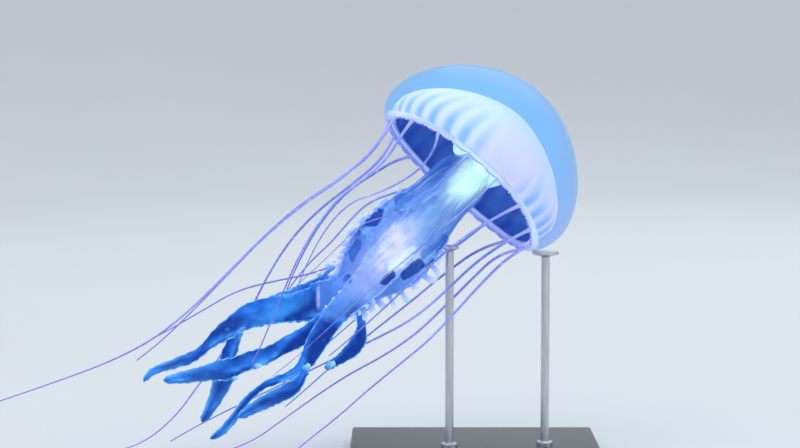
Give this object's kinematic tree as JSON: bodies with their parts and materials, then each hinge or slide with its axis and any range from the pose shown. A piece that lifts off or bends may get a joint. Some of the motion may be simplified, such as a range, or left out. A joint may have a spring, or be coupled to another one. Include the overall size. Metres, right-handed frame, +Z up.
{
  "type": "jellyfish",
  "caption": "Still display model of a swimming sea-nettle jellyfish: domed bell, stomach column, frilled mouth arms and thin trailing tentacles, held by rods on a flat base.",
  "frame": {"origin": "on the floor, under the middle of the stand's flat base", "axes": "+X to the viewer's right, -X the way the tentacles trail; +Y away from the viewer; +Z up"},
  "size_m": [0.368, 0.1288, 0.2374],
  "materials": {
    "jelly": "clear, wet, pale blue jelly",
    "subumbrella": "wet, milky white with blue muscle folds",
    "column": "wet, streaked lengthwise in blue and lilac",
    "gonad": "wet, milky mint white",
    "arm": "wet, blue with pale frilled edges",
    "tentacle": "wet, blue lilac",
    "base": "black, satin",
    "rod": "brushed"
  },
  "bodies": {
    "root": {"bell_jelly": "jelly", "subumbrella": "subumbrella", "stomach_column": "column", "gonad_1": "gonad", "gonad_2": "gonad", "gonad_3": "gonad", "gonad_4": "gonad", "arm_left_1": "arm", "arm_left_2": "arm", "arm_left_3": "arm", "arm_front_1": "arm", "arm_front_2": "arm", "arm_front_3": "arm", "arm_right_1": "arm", "arm_right_2": "arm", "arm_right_3": "arm", "arm_back_1": "arm", "arm_back_2": "arm", "arm_back_3": "arm", "arm_right_skirt": "arm", "arm_front_fork": "arm", "tentacle_1_upper": "tentacle", "tentacle_1_lower": "tentacle", "tentacle_2_upper": "tentacle", "tentacle_2_lower": "tentacle", "tentacle_3_upper": "tentacle", "tentacle_3_lower": "tentacle", "tentacle_4_upper": "tentacle", "tentacle_4_lower": "tentacle", "tentacle_5_upper": "tentacle", "tentacle_5_lower": "tentacle", "tentacle_6_upper": "tentacle", "tentacle_6_lower": "tentacle", "tentacle_7_upper": "tentacle", "tentacle_7_lower": "tentacle", "tentacle_8_upper": "tentacle", "tentacle_8_lower": "tentacle", "tentacle_9_upper": "tentacle", "tentacle_9_lower": "tentacle", "tentacle_10_upper": "tentacle", "tentacle_10_lower": "tentacle", "tentacle_11_upper": "tentacle", "tentacle_11_lower": "tentacle", "tentacle_12_upper": "tentacle", "tentacle_12_lower": "tentacle", "tentacle_13_upper": "tentacle", "tentacle_13_lower": "tentacle", "tentacle_14_upper": "tentacle", "tentacle_14_lower": "tentacle", "tentacle_15_upper": "tentacle", "tentacle_15_lower": "tentacle", "tentacle_16_upper": "tentacle", "tentacle_16_lower": "tentacle", "stand_base": "base", "stand_rod_bell": "rod", "stand_cup_bell": "rod", "stand_rod_column": "rod", "stand_cup_column": "rod"}
  },
  "joints": []
}
